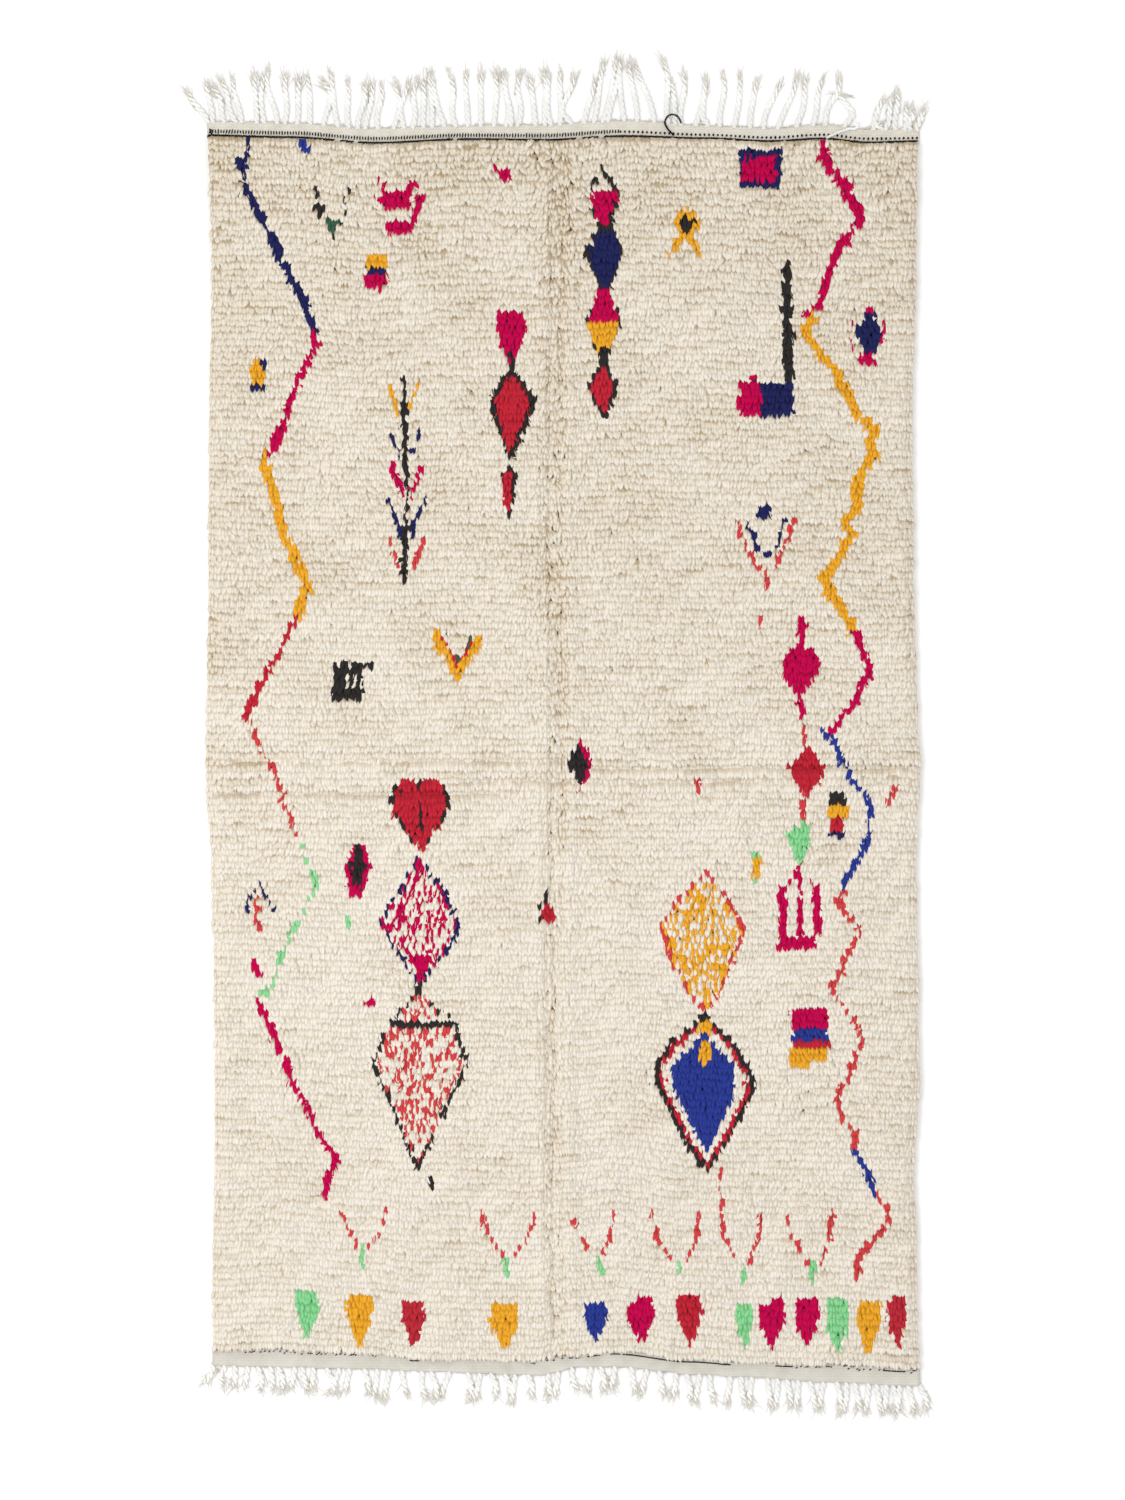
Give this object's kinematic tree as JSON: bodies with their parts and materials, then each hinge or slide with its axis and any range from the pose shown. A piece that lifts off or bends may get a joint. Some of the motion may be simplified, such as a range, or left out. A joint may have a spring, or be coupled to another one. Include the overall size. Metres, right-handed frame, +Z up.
{
  "type": "azilal rug",
  "caption": "Hand-knotted wool rug lying flat, deep ivory pile with scattered coloured motifs, a flat-woven strip and a loose warp fringe at each end.",
  "frame": {"origin": "on the floor under the middle of the rug's whole outline, both fringes included", "axes": "+Y along the rug to its long-fringed end, +X to its right edge seen from above, +Z up out of the pile"},
  "size_m": [1.5794, 2.9034, 0.0267],
  "materials": {
    "pile_ivory": "matte hand-spun wool pile, undyed ivory with a little tan",
    "flat_weave": "matte plain weave of undyed wool",
    "fringe_cord": "matte plied warp yarn, undyed",
    "dark_twining": "matte charcoal wool yarn",
    "pile_pink": "matte dyed wool pile",
    "pile_navy": "matte dyed wool pile",
    "pile_royal": "matte dyed wool pile",
    "pile_amber": "matte dyed wool pile",
    "pile_red": "matte dyed wool pile",
    "pile_coral": "matte dyed wool pile",
    "pile_mint": "matte dyed wool pile",
    "pile_black": "matte dyed wool pile",
    "pile_green": "matte dyed wool pile"
  },
  "bodies": {
    "root": {"pile_field": "pile_ivory", "woven_end_top": "flat_weave", "woven_end_bottom": "flat_weave", "dark_yarn_end": "dark_twining", "white_yarn_end": "fringe_cord"}
  },
  "joints": []
}
